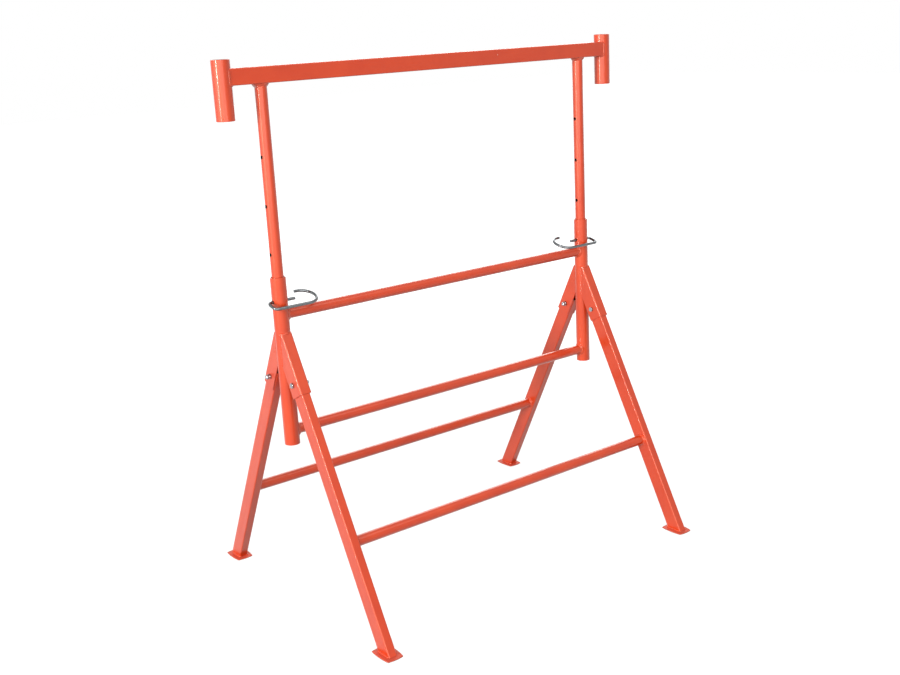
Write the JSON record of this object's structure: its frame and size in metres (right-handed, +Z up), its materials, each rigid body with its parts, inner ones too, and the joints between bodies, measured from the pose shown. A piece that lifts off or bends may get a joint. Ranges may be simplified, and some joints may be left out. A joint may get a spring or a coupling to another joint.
{
  "type": "folding sawhorse",
  "caption": "Steel folding sawhorse: square beam with guard-rail sockets on pinned telescoping posts, carried by sleeves, rails and hinged leg frames on foot plates.",
  "frame": {"origin": "on the ground, in the middle of the four feet", "axes": "+X runs along the beam, -Y is the front, where the pins' arms pass, and +Z is up"},
  "size_m": [1.285, 0.8364, 1.421],
  "materials": {
    "enamel": "gloss orange-red enamel",
    "pin_zinc": "bright zinc-plated wire",
    "bolt_zinc": "bright zinc plate"
  },
  "bodies": {
    "base": {"left_sleeve": "enamel", "right_sleeve": "enamel", "upper_rail": "enamel", "lower_rail": "enamel", "front_left_bracket": "enamel", "front_right_bracket": "enamel", "rear_left_bracket": "enamel", "rear_right_bracket": "enamel", "front_left_bolt": "bolt_zinc", "front_right_bolt": "bolt_zinc", "rear_left_bolt": "bolt_zinc", "rear_right_bolt": "bolt_zinc", "front_left_nut": "bolt_zinc", "front_right_nut": "bolt_zinc", "rear_left_nut": "bolt_zinc", "rear_right_nut": "bolt_zinc", "base_welds": "enamel"},
    "front_legs": {"front_left_leg": "enamel", "front_right_leg": "enamel", "front_leg_rail": "enamel", "front_left_foot": "enamel", "front_right_foot": "enamel", "front_leg_welds": "enamel"},
    "rear_legs": {"rear_left_leg": "enamel", "rear_right_leg": "enamel", "rear_leg_rail": "enamel", "rear_left_foot": "enamel", "rear_right_foot": "enamel", "rear_leg_welds": "enamel"},
    "head": {"head_beam": "enamel", "left_post": "enamel", "right_post": "enamel", "left_socket": "enamel", "right_socket": "enamel", "head_welds": "enamel"},
    "pin_left": {"left_pin": "pin_zinc"},
    "pin_right": {"right_pin": "pin_zinc"}
  },
  "joints": [
    {"name": "front_fold", "type": "hinge", "parent": "base", "child": "front_legs", "pos_m": [0, -0.057, 0.62], "axis": [1, 0, 0], "range_deg": [0, 29]},
    {"name": "rear_fold", "type": "hinge", "parent": "base", "child": "rear_legs", "pos_m": [0, 0.057, 0.62], "axis": [-1, 0, 0], "range_deg": [0, 29]},
    {"name": "head_height", "type": "slide", "parent": "base", "child": "head", "axis": [0, 0, 1], "range_m": [-0.36, 0.36]},
    {"name": "left_pin_pull", "type": "slide", "parent": "base", "child": "pin_left", "axis": [-1, 0, 0], "range_m": [0, 0.07]},
    {"name": "right_pin_pull", "type": "slide", "parent": "base", "child": "pin_right", "axis": [1, 0, 0], "range_m": [0, 0.07]}
  ]
}
